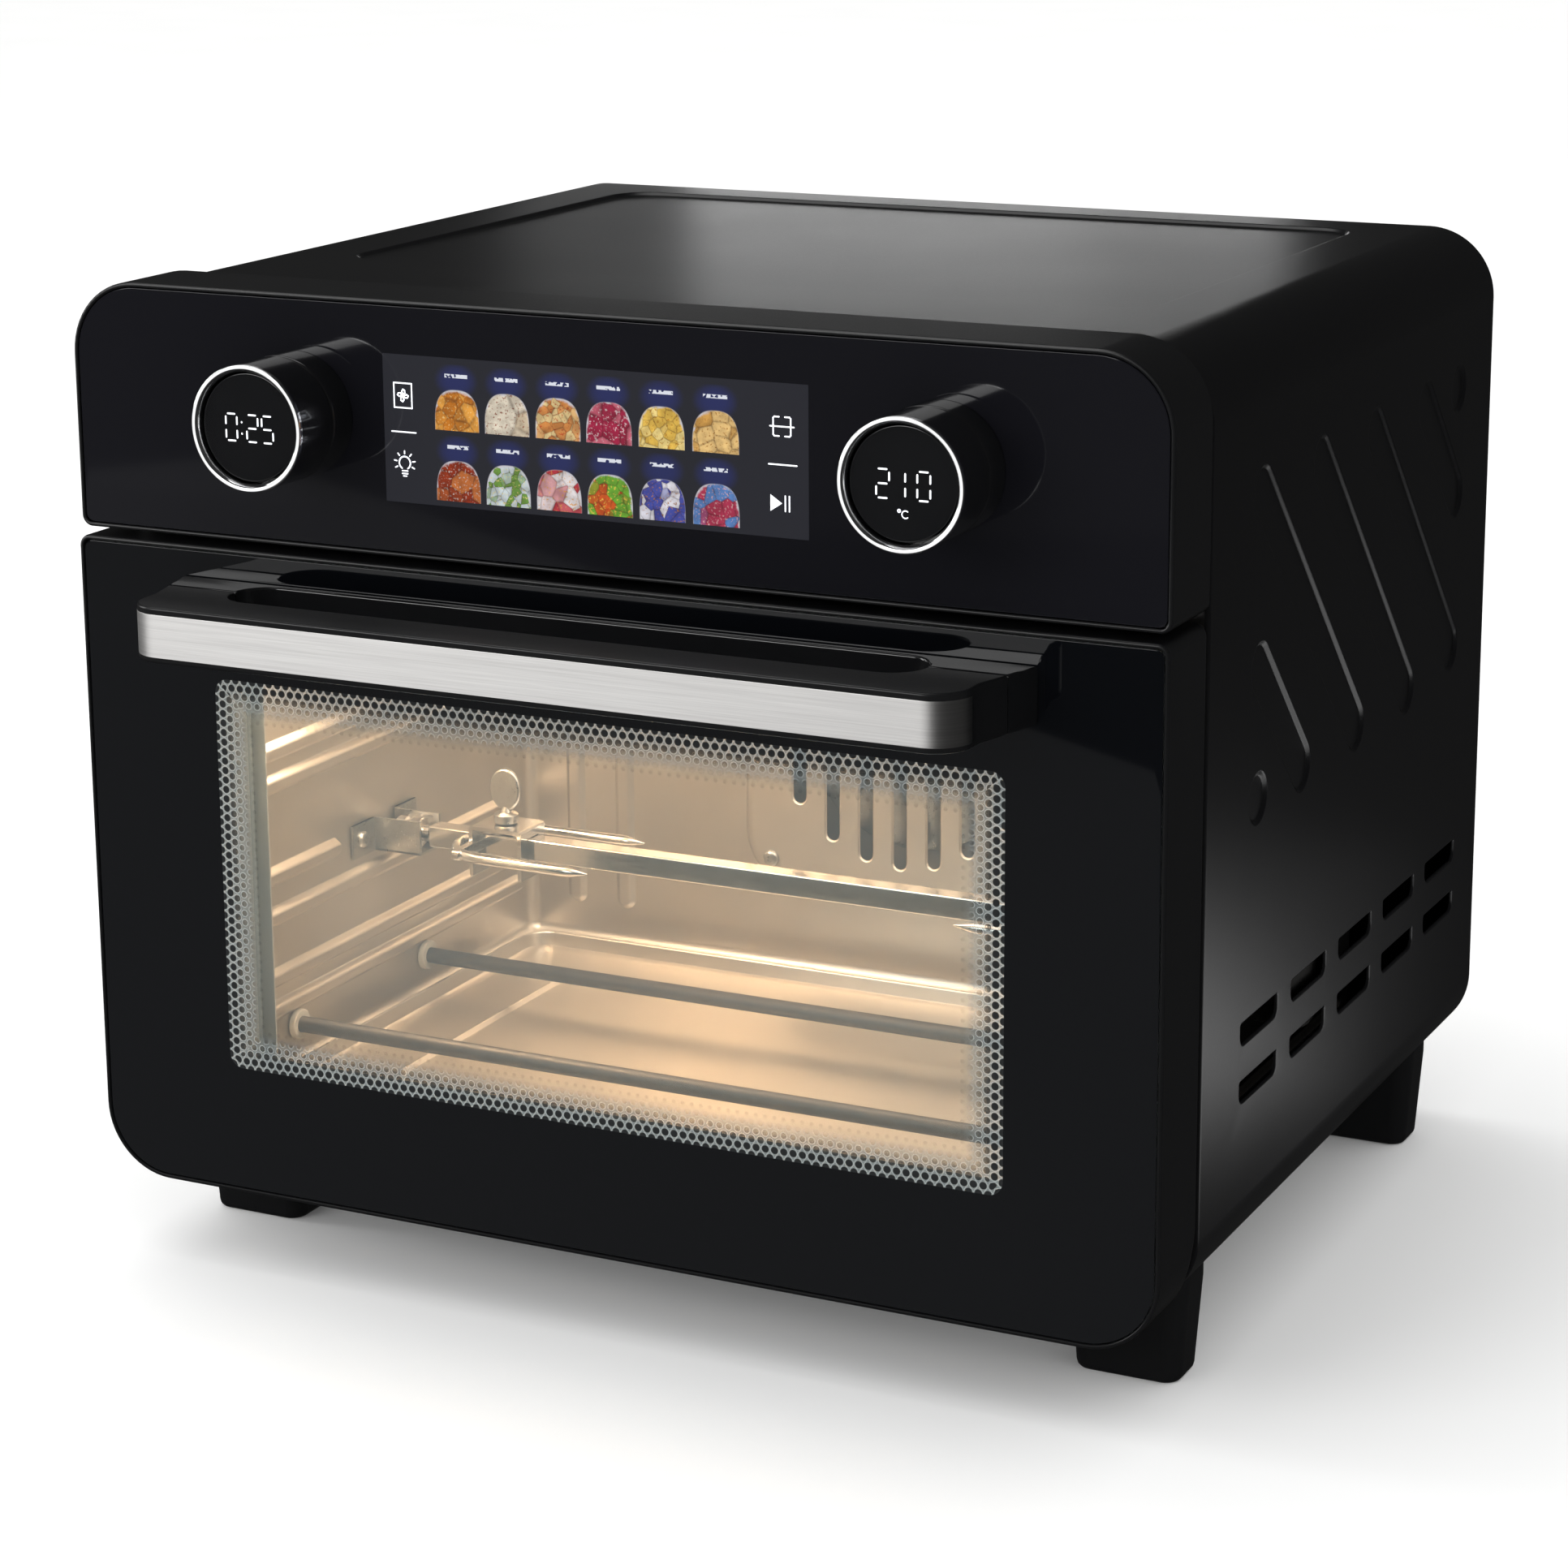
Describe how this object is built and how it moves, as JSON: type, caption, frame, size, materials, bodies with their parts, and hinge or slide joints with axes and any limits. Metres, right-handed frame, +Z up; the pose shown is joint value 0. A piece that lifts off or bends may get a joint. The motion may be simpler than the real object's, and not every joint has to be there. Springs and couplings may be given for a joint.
{
  "type": "rotisserie oven",
  "caption": "Countertop rotisserie oven with a glass control panel, two display knobs, a glazed drop-down door with a ring handle, a spit with forks and a convection fan.",
  "frame": {"origin": "centre of the overall outline on the surface the oven stands on, in the plane of the feet's undersides", "axes": "+Z up, +Y from the door to the back, +X to the right as seen from the front"},
  "size_m": [0.392, 0.383, 0.343],
  "materials": {
    "coated_steel": "satin black powder coat",
    "black_plastic": "satin black",
    "gloss_black": "gloss black",
    "black_glass": "black tinted toughened glass",
    "clear_glass": "clear heat-resistant glass",
    "brushed": "brushed stainless steel",
    "galvanised": "aluminised sheet steel",
    "chrome_wire": "bright plated steel",
    "element": "dark oxidised tube",
    "rubber": "matte black",
    "board": "circuit board"
  },
  "bodies": {
    "base": {"cabinet_shell": "coated_steel", "base_pan": "galvanised", "back_panel": "coated_steel", "foot_front_left": "rubber", "foot_front_right": "rubber", "foot_rear_left": "rubber", "foot_rear_right": "rubber", "cord_gland": "rubber", "front_frame": "galvanised", "cavity_liner": "galvanised", "crumb_tray": "brushed", "heater_lower_front": "element", "heater_lower_rear": "element", "heater_upper_front": "element", "heater_upper_rear": "element", "lamp_holder": "brushed", "lamp_lens": "clear_glass", "fan_cover": "galvanised", "fan_motor": "brushed", "spit_bracket": "brushed", "spit_motor": "brushed", "control_housing": "black_plastic", "control_glass": "black_glass", "display_module": "gloss_black", "control_board": "board", "knob_base_left": "gloss_black", "knob_base_right": "gloss_black", "knob_core_left": "gloss_black", "knob_core_right": "gloss_black", "encoder_left": "brushed", "encoder_right": "brushed", "door_seal": "rubber", "hinge_bracket_left": "brushed", "hinge_bracket_right": "brushed"},
    "door": {"door_frame": "black_plastic", "door_outer_glass": "black_glass", "door_inner_panel": "galvanised", "door_inner_glass": "clear_glass", "handle_base": "black_plastic", "handle_body": "black_plastic", "handle_trim": "brushed", "handle_screw_left": "brushed", "handle_screw_right": "brushed"},
    "knob_left": {"knob_sleeve_left": "gloss_black", "knob_ring_left": "chrome_wire"},
    "knob_right": {"knob_sleeve_right": "gloss_black", "knob_ring_right": "chrome_wire"},
    "rotisserie": {"spit": "chrome_wire", "drive_socket": "brushed"},
    "fork_left": {"fork_left": "chrome_wire"},
    "fork_right": {"fork_right": "chrome_wire"},
    "fork_screw_left": {"fork_screw_left": "chrome_wire"},
    "fork_screw_right": {"fork_screw_right": "chrome_wire"},
    "fan": {"fan_rotor": "brushed"}
  },
  "joints": [
    {"name": "door_hinge", "type": "hinge", "parent": "base", "child": "door", "pos_m": [0, -0.1285, 0.04], "axis": [1, 0, 0], "range_deg": [0, 80]},
    {"name": "knob_left_turn", "type": "hinge", "parent": "base", "child": "knob_left", "pos_m": [-0.1076, -0.166, 0.3037], "axis": [0, -1, 0], "continuous": true},
    {"name": "knob_right_turn", "type": "hinge", "parent": "base", "child": "knob_right", "pos_m": [0.1216, -0.166, 0.3037], "axis": [0, -1, 0], "continuous": true},
    {"name": "spit_turn", "type": "hinge", "parent": "base", "child": "rotisserie", "pos_m": [0, 0.0005, 0.118], "axis": [1, 0, 0], "continuous": true},
    {"name": "fork_left_slide", "type": "slide", "parent": "rotisserie", "child": "fork_left", "axis": [1, 0, 0], "range_m": [0, 0.055]},
    {"name": "fork_right_slide", "type": "slide", "parent": "rotisserie", "child": "fork_right", "axis": [-1, 0, 0], "range_m": [0, 0.055]},
    {"name": "fork_screw_left_turn", "type": "hinge", "parent": "fork_left", "child": "fork_screw_left", "pos_m": [-0.118, 0.0005, 0.13], "axis": [0, 0, 1], "continuous": true},
    {"name": "fork_screw_right_turn", "type": "hinge", "parent": "fork_right", "child": "fork_screw_right", "pos_m": [0.118, 0.0005, 0.13], "axis": [0, 0, 1], "continuous": true},
    {"name": "fan_spin", "type": "hinge", "parent": "base", "child": "fan", "pos_m": [0, 0.103, 0.15], "axis": [0, 1, 0], "continuous": true}
  ]
}
